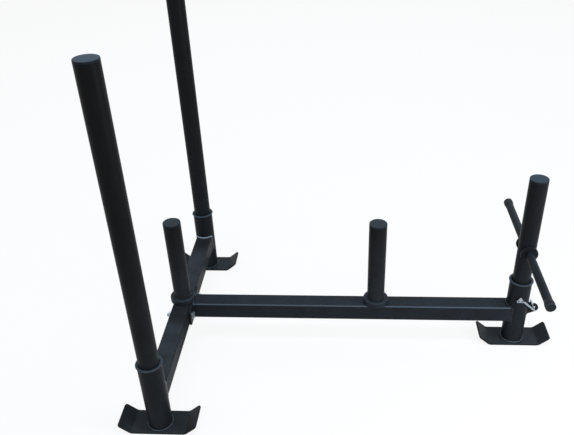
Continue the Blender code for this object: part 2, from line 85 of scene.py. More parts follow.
def node(tree, kind, inputs=(), **settings):
    """Adds one node. An input is a value, a socket to link, or a node whose first output is."""
    made = tree.nodes.new("ShaderNode" + kind)
    for name, value in settings.items():
        setattr(made, name, value)
    for name, value in dict(inputs).items():
        if isinstance(value, bpy.types.Node):
            value = value.outputs[0]
        if isinstance(value, bpy.types.NodeSocket):
            tree.links.new(value, made.inputs[name])
        else:
            made.inputs[name].default_value = value
    return made


def seen_as_background(tree):
    """1 for rays that look at the background, directly, in a reflection or through glass."""
    path = node(tree, "LightPath").outputs
    seen = node(tree, "Math", {0: path["Is Camera Ray"], 1: path["Is Glossy Ray"]}, operation="ADD")
    return node(tree, "Math", {0: seen, 1: path["Is Transmission Ray"]}, operation="ADD",
                use_clamp=True)


floor_paint = bpy.data.materials.new("studio floor")
floor_paint.use_nodes = True
tree = floor_paint.node_tree
tree.nodes.clear()
share = node(tree, "Math", {0: seen_as_background(tree), 1: floor_glow_share}, operation="MULTIPLY")
matt = node(tree, "BsdfDiffuse", {"Color": colour(floor_white)})
glow = node(tree, "Emission", {"Color": (1, 1, 1, 1), "Strength": 1.0})
mixed = node(tree, "MixShader", {0: share, 1: matt, 2: glow})
node(tree, "OutputMaterial", {"Surface": mixed})

floor_mesh = bpy.data.meshes.new("floor")
corners = ((-1, -1), (1, -1), (1, 1), (-1, 1))
floor_mesh.from_pydata([(x * floor_reach, y * floor_reach, 0) for x, y in corners], [],
                       [(0, 1, 2, 3)])
floor_mesh.materials.append(floor_paint)
floor = add_object("floor", floor_mesh)

world = bpy.data.worlds.new("sky")
world.use_nodes = True
bpy.context.scene.world = world
tree = world.node_tree
tree.nodes.clear()
level = node(tree, "MapRange", {0: seen_as_background(tree), "To Min": sky_light, "To Max": 1.0})
sky = node(tree, "Background", {"Color": (1, 1, 1, 1), "Strength": level})
node(tree, "OutputWorld", {"Surface": sky})


def softbox(name, place, target, width, height, watts, tint):
    """A soft rectangular light that looks at a target. The camera doesn't see it."""
    light = bpy.data.lights.new(name, "AREA")
    light.shape = "RECTANGLE"
    light.size, light.size_y = width, height
    light.energy = watts
    light.color = colour(tint)[:3]
    lamp = add_object(name, light)
    lamp.location = place
    lamp.rotation_euler = (Vector(target) - Vector(place)).to_track_quat("-Z", "Y").to_euler()
    lamp.visible_camera = False


softbox("overhead softbox", place=(0, -0.4, 3.6), target=(0, 0, 0),
        width=3.2, height=0.5, watts=66, tint="#cfe2fb")
softbox("back softbox", place=(0.2, 3.0, 2.9), target=(0, 0, 0.3),
        width=3.6, height=1.6, watts=32, tint="#c9dffa")
softbox("front softbox", place=(1.25, -0.85, 0.55), target=(0.40, 0, 0.15),
        width=0.7, height=0.5, watts=12, tint="#e4edfa")


# Skids: three strips of 5 mm steel plate, their ends bent up so that they ride over turf. They are
# cut and bent cold, then coated with the rest of the frame in satin black powder.

MM = 0.001

skid_thickness = 5 * MM
skid_bend_radius = 15 * MM
skid_wing_angle = radians(40)
skid_wing_length = 34 * MM
skid_corner_radius = 7 * MM
skid_edge_radius = 0.8 * MM
sole_steps, bend_steps, tip_steps, edge_steps = 4, 10, 12, 3
crease_angle = radians(38)


def new_finish(name):
    """A new material, its node tree, its shader and the place of each point on the object."""
    made = bpy.data.materials.new(name)
    made.use_nodes = True
    tree = made.node_tree
    place = node(tree, "TexCoord").outputs["Object"]
    return made, tree, tree.nodes["Principled BSDF"], place


def tilt_share(tree, tilt, starts, full, fades, stops):
    """A share that rises from 0 to 1 between two tilts of the surface and falls between two."""
    begun = node(tree, "MapRange", {0: tilt, "From Min": starts, "From Max": full})
    ended = node(tree, "MapRange", {
        0: tilt, "From Min": fades, "From Max": stops, "To Min": 1.0, "To Max": 0.0})
    return node(tree, "Math", {0: begun, 1: ended}, operation="MULTIPLY")


def distance_from(tree, place, middle):
    offset = node(tree, "Math", {0: place, 1: middle}, operation="SUBTRACT")
    return node(tree, "Math", {0: offset}, operation="ABSOLUTE")


def gloss_and_grain(tree, shader, patches, shiny, dull, grain, depth):
    """Makes a finish shinier in some patches than in others, and gives its grain a real depth."""
    gloss = node(tree, "MapRange", {
        0: patches, "From Min": 0.3, "From Max": 0.7, "To Min": shiny, "To Max": dull})
    tree.links.new(gloss.outputs[0], shader.inputs["Roughness"])
    bump = node(tree, "Bump", {"Height": grain, "Strength": 1.0, "Distance": depth})
    tree.links.new(bump.outputs[0], shader.inputs["Normal"])
    return gloss


def coat_material(name, dull=0.45, shiny=0.37, specular=0.035, dust_and_sheen_tint="#282e33",
                  thrown_up=(0.50, 600 * MM), painted_highlight=None, shaded_at=(), dull_at=None):
    """Satin black powder coat on steel. It melts to an even skin with a faint orange peel and a few
    pale specks, under a thin uneven dust, whose bluish tint on faces that look up is also a painted
    sheen. The last four values say where it is dusty, where painted highlights and painted shade
    lie and where it is duller."""
    peel_width, peel_depth = 2.2 * MM, 0.02 * MM
    patch_width = 55 * MM
    speck_width, speck_share = 1.4 * MM, 0.25
    made, tree, shader, place = new_finish(name)
    peel = node(tree, "TexNoise", {"Vector": place, "Scale": 1 / peel_width, "Detail": 1.0})
    patches = node(tree, "TexNoise", {
        "Vector": place, "Scale": 1 / patch_width, "Detail": 4.0, "Roughness": 0.62})
    specks = node(tree, "TexNoise", {"Vector": place, "Scale": 1 / speck_width, "Detail": 2.0})
    normal = node(tree, "NewGeometry").outputs["Normal"]
    up = node(tree, "SeparateXYZ", {0: normal}).outputs["Z"]
    where = node(tree, "SeparateXYZ", {0: place}).outputs

    # Dust, and with it a painted bluish sheen, lies where a face looks up. Low down it is also
    # thrown
    # up from the floor: thrown_up gives its share there and how high it reaches.
    first_tilt, full_tilt = 0.35, 0.95
    full_below = 30 * MM
    thinnest = 0.45
    thrown_share, thrown_height = thrown_up
    facing = node(tree, "MapRange", {0: up, "From Min": first_tilt, "From Max": full_tilt})
    thrown = node(tree, "MapRange", {
        0: where["Z"], "From Min": full_below, "From Max": thrown_height,
        "To Min": thrown_share, "To Max": 0.0})
    reached = node(tree, "Math", {0: facing, 1: thrown}, operation="MAXIMUM")
    lying = node(tree, "MapRange", {
        0: patches, "From Min": 0.25, "From Max": 0.75, "To Min": thinnest, "To Max": 1.0})
    dust_and_sheen = node(tree, "Math", {0: reached, 1: lying}, operation="MULTIPLY")

    # The places listed here get less of the pale dust and sheen, which paints shade there: the
    # middle of each, how far it is darkest and how far it reaches.
    shaded_share = 0.4
    for middle, darkest_within, reach in shaded_at:
        away = distance_from(tree, where["Y"], middle)
        kept = node(tree, "MapRange", {
            0: away, "From Min": darkest_within, "From Max": reach,
            "To Min": shaded_share, "To Max": 1.0}, interpolation_type="SMOOTHSTEP")
        dust_and_sheen = node(tree, "Math", {0: dust_and_sheen, 1: kept}, operation="MULTIPLY")

    coat = node(tree, "Mix", {0: patches, 6: colour("#141414"), 7: colour("#1b1b1c")},
                data_type="RGBA")
    speck = node(tree, "MapRange", {
        0: specks, "From Min": 0.62, "From Max": 0.78, "To Max": speck_share})
    speckled = node(tree, "Mix", {0: speck, 6: coat.outputs[2], 7: colour("#26292d")},
                    data_type="RGBA")
    tint = node(tree, "Mix", {0: dust_and_sheen, 6: speckled.outputs[2], 7: colour(dust_and_sheen_tint)},
                data_type="RGBA")

    # A painted highlight makes the coat paler on its rounded edges: these values give the upward
    # tilts of the surface where that starts, is full, fades and stops, and its colour.
    if painted_highlight:
        *tilts, pale = painted_highlight
        share = tilt_share(tree, up, *tilts)
        tint = node(tree, "Mix", {0: share, 6: tint.outputs[2], 7: colour(pale)}, data_type="RGBA")
    tree.links.new(tint.outputs[2], shader.inputs["Base Color"])
    gloss = gloss_and_grain(tree, shader, patches, shiny, dull, peel, peel_depth)

    # dull_at gives the one place across the sled that no shoe has polished: its middle, how far it
    # reaches and its roughness.
    if dull_at:
        middle, reach, roughness = dull_at
        away = distance_from(tree, where["Y"], middle)
        matted = node(tree, "MapRange", {
            0: away, "From Max": reach, "To Min": roughness, "To Max": shiny})
        duller = node(tree, "Math", {0: gloss, 1: matted}, operation="MAXIMUM")
        tree.links.new(duller.outputs[0], shader.inputs["Roughness"])
    shader.inputs["Specular IOR Level"].default_value = specular
    return made


powder_coat = coat_material("satin black powder coat")
# The skids slide over the floor, so their dust is paler, and so is the painted sheen that shares
# its tint.
floor_dust_coat = coat_material("powder coat with floor dust", dust_and_sheen_tint="#34393c")


def skin(rings, loop=False):
    """A closed skin through rings of equally many points. A loop also joins its two ends."""
    bm = bmesh.new()
    rows = [[bm.verts.new(point) for point in ring] for ring in rings]
    pairs = list(zip(rows, rows[1:])) + ([(rows[-1], rows[0])] if loop else [])
    count = len(rows[0])
    for low, high in pairs:
        for i in range(count):
            j = (i + 1) % count
            bm.faces.new((low[i], low[j], high[j], high[i]))
    if not loop:
        bm.faces.new(rows[0])
        bm.faces.new(rows[-1])
    return bm


def object_of(bm, name):
    """Puts a skin into the scene as an object."""
    bmesh.ops.recalc_face_normals(bm, faces=bm.faces)
    mesh = bpy.data.meshes.new(name)
    bm.to_mesh(mesh)
    bm.free()
    return add_object(name, mesh)


def piece(bm, name, finish, stands_for=None, body="sled_frame"):
    """Turns a skin into a smooth-shaded piece that rides on a body and stands for a node."""
    made = object_of(bm, name)
    made.data.materials.append(finish)
    made.data.shade_smooth()
    made.data.set_sharp_from_angle(angle=crease_angle)
    weighted = made.modifiers.new("even shading", "WEIGHTED_NORMAL")
    weighted.keep_sharp = True
    if stands_for:
        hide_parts(stands_for)
    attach(made, body)


def fillet(radius, start=0.0, end=90.0, centre=(0.0, 0.0), steps=6):
    """Points on a round edge about its centre, from one angle to another in degrees."""
    turns = [radians(start + (end - start) * i / steps) for i in range(steps + 1)]
    return [(centre[0] + radius * cos(turn), centre[1] + radius * sin(turn)) for turn in turns]


def round_rectangle(half_width, half_height, radius, steps=6, cuts=1):
    """A flat outline with round corners, and with its straight sides cut into short lengths."""
    points = []
    for quarter, (x, y) in enumerate(((1, 1), (-1, 1), (-1, -1), (1, -1))):
        centre = Vector((x * (half_width - radius), y * (half_height - radius)))
        corner = fillet(radius, 90 * quarter, 90 * quarter + 90, steps=steps)
        points += [centre + Vector(pair) for pair in corner]
    outline = []
    for i, point in enumerate(points):
        outline.append(point)
        following = points[(i + 1) % len(points)]
        if (i + 1) % (steps + 1) == 0:
            outline += [point.lerp(following, cut / cuts) for cut in range(1, cuts)]
    return outline


def skid_stations(half_sole, half_width):
    """(along, rise, slope, half width, taper) from the middle of the sole to one raised tip."""
    stations = [(half_sole * i / sole_steps, 0, 0, half_width, 0) for i in range(sole_steps + 1)]
    for i in range(1, bend_steps + 1):
        turn = skid_wing_angle * i / bend_steps
        along = half_sole + skid_bend_radius * sin(turn)
        rise = skid_bend_radius * (1 - cos(turn))
        stations.append((along, rise, turn, half_width, 0))
    start, foot = stations[-1][:2]
    level, steep = cos(skid_wing_angle), sin(skid_wing_angle)
    for i in range(tip_steps + 1):
        turn = pi / 2 * i / tip_steps
        reach = skid_wing_length - skid_corner_radius * (1 - sin(turn))
        half = half_width - skid_corner_radius * (1 - cos(turn))
        past = max(0, skid_edge_radius - (skid_wing_length - reach))
        taper = skid_edge_radius - sqrt(skid_edge_radius ** 2 - past ** 2)
        stations.append((start + reach * level, foot + reach * steep, skid_wing_angle, half, taper))
    return stations


for side in ("left", "right", "front"):
    low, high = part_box(f"skid_{side}")
    middle = (low + high) / 2
    wing_run = skid_bend_radius * sin(skid_wing_angle) + skid_wing_length * cos(skid_wing_angle)
    tip_lean = skid_thickness / 2 * sin(skid_wing_angle)
    half_sole = (high.x - low.x) / 2 - wing_run - tip_lean
    one_side = skid_stations(half_sole, (high.y - low.y) / 2)
    other_side = [(-along, rise, -slope, half, taper)
                  for along, rise, slope, half, taper in one_side[:0:-1]]
    rings = []
    for along, rise, slope, half, taper in other_side + one_side:
        lift = Vector((-sin(slope), 0, cos(slope)))
        heart = Vector((middle.x + along, middle.y, low.z + skid_thickness / 2 + rise))
        # The round long edges get tighter where the tip is rounded off too.
        edge = skid_edge_radius * 0.98 - taper * 0.5
        outline = round_rectangle(half - taper, skid_thickness / 2 - taper, edge, edge_steps)
        rings.append([heart + Vector((0, p.x, 0)) + lift * p.y for p in outline])
    piece(skin(rings), f"skid_{side}_plate", floor_dust_coat, f"skid_{side}")


# Sockets: three lengths of 60.3 mm tube, welded upright on the skids. A thick lip round each mouth,
# a little narrower than the bore, guides the post in. The weld at the foot is a rippled bead.

socket_wall = 2.9 * MM
lip_width = 2.9 * MM
lip_height = 3.5 * MM
lip_radius = 1.7 * MM
lip_inset = 0.9 * MM
lip_ease = 0.2 * MM
mouth_radius = 0.6 * MM
weld_gap = 0.3 * MM
weld_leg = 4.2 * MM
small_weld_leg = 2.6 * MM
weld_pitch = 2.6 * MM
weld_step = 0.45 * MM
ripple_lag = 0.35
ROUND = 96

# The powder pools in the hollows of a weld and sets glossier there. The crown of a bead carries a
# painted glint, brightest on the cross member's welds; the welds at the spine's front and in the
# rings have none.
pooled = {"dull": 0.28, "shiny": 0.20, "specular": 0.12}
pooled_coat = coat_material("powder coat pooled on a weld", **pooled,
                            painted_highlight=(0.35, 0.75, 0.93, 1.0, "#434c54"))
glinting_weld_coat = coat_material("powder coat with a painted glint on a weld", **pooled,
                                  painted_highlight=(0.05, 0.35, 0.98, 1.0, "#8995a0"))
plain_weld_coat = coat_material("powder coat on a weld without a painted glint", **pooled)
# The lips carry a painted highlight. The last two tilts are out of reach, so that the lips' tops
# are as pale as their edges.
lip_coat = coat_material("powder coat with a painted highlight at a lip", painted_highlight=(0.05, 0.35, 1.5, 2.0, "#424b53"))


def ring(radius, height, sides=ROUND):
    turns = [2 * pi * i / sides for i in range(sides)]
    return [Vector((radius * cos(turn), radius * sin(turn), height)) for turn in turns]


def laid(rings, place, turn):
    """Upright rings turned to their real axis, with their foot at a place."""
    stand = Matrix.Translation(place) @ turn
    return [[stand @ point for point in one] for one in rings]


def turned(profile, place, loop=True, sides=ROUND, turn=Matrix()):
    """A piece turned about +Z from (radius, height) pairs, then laid along its real axis."""
    return skin(laid([ring(r, z, sides) for r, z in profile], place, turn), loop)


def foot_of(low, high):
    """The middle of the lower face of a node's box."""
    return Vector(((low.x + high.x) / 2, (low.y + high.y) / 2, low.z))


def weld_bead(name, route, finish=pooled_coat, leg=weld_leg):
    """A fillet weld along a route of (place, away, up): the directions lie on the two joined faces,
    away from the corner. As in a hand weld, the ripples lag in the middle of the bead, and its
    width wanders, slowly and quickly."""
    across = 9
    toe, crown, ripple_height = 0.80, 0.10, 0.09
    slow, quick = 17 * MM, 5.3 * MM
    rings = []
    travelled = 0.0
    for i, (place, away, up) in enumerate(route):
        if i:
            travelled += (place - route[i - 1][0]).length
        wander = 0.05 * sin(travelled / slow) + 0.04 * sin(travelled / quick + 1)
        outline = [place - (away + up) * weld_gap * 0.5]
        for k in range(across):
            turn = pi / 2 * k / (across - 1)
            lag = ripple_lag * sin(2 * turn)
            ripple = abs(sin(pi * (travelled / weld_pitch + lag)))
            reach = leg * (toe + crown * sin(2 * turn) + ripple_height * ripple + wander)
            outline.append(place + away * reach * cos(turn) + up * reach * sin(turn))
        rings.append(outline)
    piece(skin(rings, loop=True), name, finish)


def round_route(centre, radius):
    """A weld's route round an upright tube's foot."""
    count = int(2 * pi * radius / weld_step)
    return [(centre + out * radius, out, Vector((0, 0, 1))) for out in ring(1, 0, count)]


sockets = {}
for side in ("left", "right", "front"):
    low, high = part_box(f"socket_{side}")
    centre = foot_of(low, high)
    lip = (high.x - low.x) / 2
    outer = lip - lip_width
    sockets[side] = (centre, outer)
    bore = outer - socket_wall
    mouth = bore - lip_inset
    top = high.z - low.z
    under = top - lip_height
    profile = [(outer, 0), (outer, under - lip_ease), (outer + lip_ease, under)]
    profile += fillet(lip_radius, -90, 0, (lip - lip_radius, under + lip_radius))
    profile += fillet(lip_radius, 0, 90, (lip - lip_radius, top - lip_radius))
    profile += fillet(mouth_radius, 90, 180, (mouth + mouth_radius, top - mouth_radius), steps=4)
    profile += [(mouth, under), (bore, under - lip_inset), (bore, 0)]
    piece(turned(profile, centre), f"socket_{side}_tube", lip_coat, f"socket_{side}")
    foot = centre - Vector((0, 0, weld_gap))
    weld_bead(f"weld_skid_{side}", round_route(foot, outer))


# Cross member and spine: 50 mm square tube with rounded corners. Their ends are cut to saddles that
# wrap the round sockets and are welded all round. The spine ends at the rear in a bolted flange.

beam_wall = 3 * MM
beam_corner = 5 * MM
beam_inner_corner = beam_corner - beam_wall * 0.9
beam_corner_steps = 8
beam_cuts = 14
seam_cuts = 110

low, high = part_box("cross_member")
rear_x = (low.x + high.x) / 2
beam_z = (low.z + high.z) / 2
beam_half = (high.z - low.z) / 2
spine_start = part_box("spine")[0].x
left_centre, rear_outer = sockets["left"]
right_centre = sockets["right"][0]
front_centre, front_outer = sockets["front"]


def section_route(half_width, half_height, corner, cuts):
    """(sideways, up) points round a section, with the outward direction at each."""
    outline = round_rectangle(half_width, half_height, corner, beam_corner_steps, cuts)
    count = len(outline)
    around = []
    for i, point in enumerate(outline):
        along = outline[(i + 1) % count] - outline[i - 1]
        around.append((point, Vector((along.y, -along.x)).normalized()))
    return around


def saddle_end(aside, outer):
    """How far from a socket's middle a piece welded to it ends, this far aside of that middle."""
    return sqrt((outer + weld_gap) ** 2 - aside * aside)


def beam(name, finish, low_end, high_end, to_world, stands_for):
    """Square tube. Each end is a function from a section point to the place along the beam."""
    rings = []
    for inset, corner, ends in ((0.0, beam_corner, (low_end, high_end)),
                                (beam_wall, beam_inner_corner, (high_end, low_end))):
        half = beam_half - inset
        section = [point for point, _ in section_route(half, half, corner, beam_cuts)]
        for end in ends:
            rings.append([to_world(end(point), point) for point in section])
    piece(skin(rings, loop=True), name, finish, stands_for)


def even_route(route):
    """The same closed route with its points spread evenly, so that the ripples keep their pitch."""
    closed = route + route[:1]
    marks = [0.0]
    for here, following in zip(closed, closed[1:]):
        marks.append(marks[-1] + (following[0] - here[0]).length)
    count = int(marks[-1] / weld_step)
    spread = []
    k = 0
    for i in range(count):
        wanted = marks[-1] * i / count
        while marks[k + 1] < wanted:
            k += 1
        share = (wanted - marks[k]) / max(marks[k + 1] - marks[k], 1e-9)
        here, following = closed[k:k + 2]
        place = here[0].lerp(following[0], share)
        away, up = (here[n].lerp(following[n], share).normalized() for n in (1, 2))
        spread.append((place, away, up))
    return spread


def along_socket(outward, radial):
    """The part of a section's outward direction that lies on the socket's round face."""
    return (outward - radial * outward.dot(radial)).normalized()


def saddle_weld(name, finish, socket, to_world, end, inward):
    """The bead where a beam meets a socket. inward is the beam's direction away from the socket."""
    centre = sockets[socket][0]
    route = []
    for point, out in section_route(beam_half, beam_half, beam_corner, seam_cuts):
        place = to_world(end(point), point)
        radial = (Vector((place.x, place.y, 0)) - Vector((centre.x, centre.y, 0))).normalized()
        outward = (to_world(0, point + out) - to_world(0, point)).normalized()
        route.append((place, inward, along_socket(outward, radial)))
    weld_bead(name, even_route(route), finish)


def cross_place(along, point):
    return Vector((rear_x + point.x, along, beam_z + point.y))


def cross_left(point):
    return left_centre.y - saddle_end(point.x, rear_outer)


def cross_right(point):
    return right_centre.y + saddle_end(point.x, rear_outer)


def spine_place(along, point):
    return Vector((along, point.x, beam_z + point.y))


def spine_front(point):
    return front_centre.x - saddle_end(point.x, front_outer)


def spine_rear(point):
    return spine_start


# Shoes polish the cross member, but hardly in the corner on the right of the spine. Beside the
# rear weight post and the left socket, painted shade darkens its top.
step_coat = coat_material(
    "powder coat stepped on", shiny=0.40, specular=0.022, dust_and_sheen_tint="#3a3f43",
    shaded_at=[(-55 * MM, 20 * MM, 80 * MM), (left_centre.y, 75 * MM, 130 * MM)],
    dull_at=(-90 * MM, 140 * MM, 0.76))
beam("cross_member_tube", step_coat, cross_right, cross_left, cross_place, "cross_member")
for side, end, sense in (("left", cross_left, -1), ("right", cross_right, 1)):
    saddle_weld(f"weld_cross_{side}", glinting_weld_coat, side, cross_place, end,
                Vector((0, sense, 0)))

# A painted highlight runs along the spine's two upper edges.
edge_coat = coat_material("powder coat with a painted edge highlight", thrown_up=(0.80, 600 * MM),
                          painted_highlight=(0.30, 0.50, 0.84, 0.97, "#4e5860"))
beam("spine_tube", edge_coat, spine_rear, spine_front, spine_place, "spine")
saddle_weld("weld_spine_front", plain_weld_coat, "front", spine_place, spine_front,
            Vector((-1, 0, 0)))

flange_route = []
for point, out in section_route(beam_half, beam_half, beam_corner, seam_cuts):
    place = spine_place(spine_start, point)
    flange_route.append((place, Vector((0, out.x, out.y)), Vector((1, 0, 0))))
weld_bead("weld_spine_flange", even_route(flange_route), leg=small_weld_leg)


# Spine flange: a flat plate welded square across the spine's rear end. Two bolts through it and the
# cross member hold the sled together, so that it packs flat.

flange_corner = 3 * MM
flange_edge = 0.7 * MM


def eased(low, high, edge):
    """(place, inset) pairs from one face of a piece to the other, with both its edges eased."""
    return [(low, edge), (low + edge, 0), (high - edge, 0), (high, edge)]


low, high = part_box("spine_flange")
middle = (low + high) / 2
rings = []
for x, inset in eased(low.x, high.x, flange_edge):
    half_width, half_height = (high.y - low.y) / 2 - inset, (high.z - low.z) / 2 - inset
    outline = round_rectangle(half_width, half_height, flange_corner)
    rings.append([Vector((x, middle.y + p.x, middle.z + p.y)) for p in outline])
piece(skin(rings), "spine_flange_plate", powder_coat, "spine_flange")


# Flange bolts: M10 hexagon bolts, washers and nuts of zinc-plated steel, cold formed, with rolled
# threads. The heads are on the spine's side and the nuts behind the cross member.

bolt_width = 16 * MM
bolt_radius = 10 * MM / 2
bolt_sides = 72
bevel_circle = bolt_width / 2 * 0.97
bevel_tilt = radians(30)
face_ease = 0.1 * MM
seat_gap = 0.3 * MM
neck_length = 0.3 * MM
neck_flare = 0.4 * MM
seat_circle = bolt_width / 2 * 0.95
seat_height = 0.35 * MM
head_rim = 0.7 * MM
dish_rim = 1.9 * MM
dish_depth = 0.25 * MM
tail_bevel = 1.2 * MM
tail_bevel_length = 0.6 * MM
thread_length = 22 * MM
thread_pitch = 1.5 * MM
thread_depth = 0.8 * MM
thread_rings = 8
thread_play = 0.05 * MM
nut_rim = 0.9 * MM
nut_bevel = 0.8 * MM
washer_rim = 0.3 * MM
washer_play = 0.25 * MM
ALONG_X = Matrix.Rotation(radians(90), 4, "Y")


def mottled_finish(name, dark, light, shiny, dull, patch_width, grain_width, grain_depth):
    """A finish with a fine grain, and with patches in which it gets paler and duller."""
    made, tree, shader, place = new_finish(name)
    patches = node(tree, "TexNoise", {"Vector": place, "Scale": 1 / patch_width, "Detail": 3.0})
    grain = node(tree, "TexNoise", {"Vector": place, "Scale": 1 / grain_width, "Detail": 2.0})
    tint = node(tree, "Mix", {0: patches, 6: colour(dark), 7: colour(light)}, data_type="RGBA")
    tree.links.new(tint.outputs[2], shader.inputs["Base Color"])
    gloss_and_grain(tree, shader, patches, shiny, dull, grain, grain_depth)
    return made, tree, shader, tint.outputs[2]


# Bright zinc plate is a pale bluish metal that reflects softly, faintly clouded by passivation.
zinc_plate, _, zinc_shader, _ = mottled_finish(
    "bright zinc plate", "#8b98a3", "#b4bfc7", shiny=0.24, dull=0.38, patch_width=4 * MM,
    grain_width=0.35 * MM, grain_depth=0.004 * MM)
zinc_shader.inputs["Metallic"].default_value = 1.0


def circle(radius, height):
    return ring(radius, height, bolt_sides)


def hexagon(height, bevelled=True):
    """A hexagonal ring. Where it is bevelled, its corners drop away outside the bevel's circle."""
    points = []
    for i in range(bolt_sides):
        turn = 2 * pi * i / bolt_sides
        off = (turn + pi / 6) % (pi / 3) - pi / 6
        radius = bolt_width / 2 / cos(off)
        drop = 0.0
        if bevelled and radius > bevel_circle:
            drop = (radius - bevel_circle) * tan(bevel_tilt)
        points.append(Vector((radius * cos(turn), radius * sin(turn), height - drop)))
    return points


def threaded(start, end):
    """Rings of a rolled thread between two heights, with run-outs at both ends."""
    rings = []
    steps = max(2, int((end - start) / (thread_pitch / thread_rings)))
    for n in range(steps + 1):
        z = start + (end - start) * n / steps
        fade = min(1.0, (z - start) / thread_pitch, (end - z) / thread_pitch)
        points = []
        for i in range(bolt_sides):
            share = (z / thread_pitch - i / bolt_sides) % 1.0
            depth = thread_depth * fade * abs(2 * share - 1)
            radius = bolt_radius - thread_play - depth
            turn = 2 * pi * i / bolt_sides
            points.append(Vector((radius * cos(turn), radius * sin(turn), z)))
        rings.append(points)
    return rings


for side in ("left", "right"):
    low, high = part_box(f"flange_bolt_{side}")
    y, z = (low.y + high.y) / 2, (low.z + high.z) / 2
    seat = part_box(f"head_washer_{side}")[1].x + seat_gap
    head = high.x - seat
    tail = low.x - seat
    rings = [circle(bolt_radius - tail_bevel, tail)]
    rings += threaded(tail + tail_bevel_length, tail + thread_length)
    rings += [circle(bolt_radius - thread_play, -neck_length), circle(bolt_radius + neck_flare, 0),
              circle(seat_circle, 0), hexagon(seat_height, bevelled=False),
              hexagon(head - face_ease), circle(bevel_circle - head_rim, head),
              circle(bevel_circle - dish_rim, head - dish_depth)]
    bolt = skin(laid(rings, Vector((seat, y, z)), ALONG_X))
    piece(bolt, f"flange_bolt_{side}_forged", zinc_plate, f"flange_bolt_{side}")

    for washer in (f"head_washer_{side}", f"nut_washer_{side}"):
        low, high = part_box(washer)
        outer, thick = (high.y - low.y) / 2, high.x - low.x
        bore = bolt_radius + washer_play
        profile = [(outer - inset, height) for height, inset in eased(0, thick, washer_rim)]
        profile += [(bore, thick), (bore, 0)]
        piece(turned(profile, Vector((low.x, y, z)), turn=ALONG_X), f"{washer}_stamped",
              zinc_plate, washer)

    low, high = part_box(f"flange_nut_{side}")
    tall = high.x - low.x
    bore = bolt_radius + thread_play
    flipped = [Vector((p.x, p.y, -p.z)) for p in hexagon(-face_ease)]
    rings = [circle(bevel_circle - nut_rim, 0), flipped, hexagon(tall - face_ease),
             circle(bevel_circle - nut_rim, tall), circle(bore + nut_bevel, tall),
             circle(bore, tall - nut_bevel), circle(bore, nut_bevel), circle(bore + nut_bevel, 0)]
    nut = skin(laid(rings, Vector((low.x, y, z)), ALONG_X), loop=True)
    piece(nut, f"flange_nut_{side}_forged", zinc_plate, f"flange_nut_{side}")


# Weight posts: two lengths of 48.3 mm tube that take plates with a 50 mm bore. Each stands on a
# beam inside a thick ring, which keeps the lowest plate off the frame and the bolts. A weld fills
# the ring's mouth, and ends just below the face that plates rest on.

post_wall = 3 * MM
rim_chamfer = 0.5 * MM
ring_clearance = 3.6 * MM
ring_edge = 4 * MM
ring_foot_ease = 0.4 * MM
ring_mouth_radius = 1.0 * MM
ring_weld_drop = 1.0 * MM
ring_weld_depth = 2 * MM
ring_weld_steps = 6
# Plates scuff the posts near their feet. The rings carry a pale painted highlight all over.
post_coat = coat_material("powder coat scuffed by plates", dust_and_sheen_tint="#34393c",
                          thrown_up=(0.90, 400 * MM))
ring_coat = coat_material("powder coat with a painted highlight on a ring", painted_highlight=(-0.5, 0.6, 0.92, 1.2, "#30363c"))


def tube_profile(outer, length, wall=post_wall, chamfer=rim_chamfer):
    """The section of a tube with eased rims."""
    rims = eased(0, length, chamfer)
    bore = outer - wall
    return ([(outer - inset, z) for z, inset in rims]
            + [(bore + inset, z) for z, inset in reversed(rims)])


def upright(stands_for, body, finish=powder_coat):
    """A plain tube with eased rims, where its node stands. Returns its foot and outer radius."""
    low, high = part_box(stands_for)
    foot = foot_of(low, high)
    outer = (high.x - low.x) / 2
    piece(turned(tube_profile(outer, high.z - low.z), foot), f"{stands_for}_tube", finish,
          stands_for, body)
    return foot, outer


def weld_ring(name, place, inner, outer):
    """The weld in a ring's mouth: a flat rippled band between the post and the ring's bore."""
    hollow, ripple_height = 0.45, 0.25
    count = int(2 * pi * outer / weld_step)
    rings = []
    for i, out in enumerate(ring(1, 0, count)):
        turn = 2 * pi * i / count
        outline = []
        for k in range(ring_weld_steps + 1):
            share = k / ring_weld_steps
            lag = ripple_lag * sin(pi * share)
            ripple = abs(sin(pi * (outer * turn / weld_pitch + lag)))
            rise = ring_weld_drop * (hollow * (2 * share - 1) ** 2 + ripple_height * ripple)
            outline.append(place + out * (inner + (outer - inner) * share) + Vector((0, 0, rise)))
        for reach in (outer, inner):
            outline.append(place + out * reach - Vector((0, 0, ring_weld_depth)))
        rings.append(outline)
    piece(skin(rings, loop=True), name, plain_weld_coat)


for position in ("rear", "mid"):
    foot, outer = upright(f"weight_post_{position}", "sled_frame", post_coat)
    low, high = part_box(f"weight_ring_{position}")
    rim, tall = (high.x - low.x) / 2, high.z - low.z
    bore = outer + ring_clearance
    profile = [(rim - ring_foot_ease, 0), (rim, ring_foot_ease)]
    profile += fillet(ring_edge, 0, 90, (rim - ring_edge, tall - ring_edge), steps=10)
    inside = (bore + ring_mouth_radius, tall - ring_mouth_radius)
    profile += fillet(ring_mouth_radius, 90, 180, inside, steps=4)
    profile += [(bore, 0)]
    piece(turned(profile, Vector((foot.x, foot.y, low.z))), f"weight_ring_{position}_turned",
          ring_coat, f"weight_ring_{position}")
    mouth = Vector((foot.x, foot.y, low.z + tall - ring_weld_drop))
    weld_ring(f"weld_ring_{position}", mouth, outer, bore)


# End caps: five plugs moulded in black polyethylene and pushed into the tubes. Each has a low
# crowned top with a fine spark-eroded grain, a bluish painted sheen and a small gate mark in its
# middle.

cap_edge = 1.5 * MM
cap_crown = 0.4 * MM
crown_sink = cap_crown * 0.84
crown_steps = 8
cap_ease = 0.3 * MM
plug_depth = 18 * MM
plug_wall = 2 * MM
plug_play = 0.3 * MM
plug_lead = 1 * MM
plug_taper = 0.8 * MM
plug_roof = 0.2 * MM
mark_radius = 2.0 * MM
mark_floor = mark_radius * 0.8
mark_depth = 0.35 * MM
mark_rim = 0.05 * MM
hub_share = 0.3


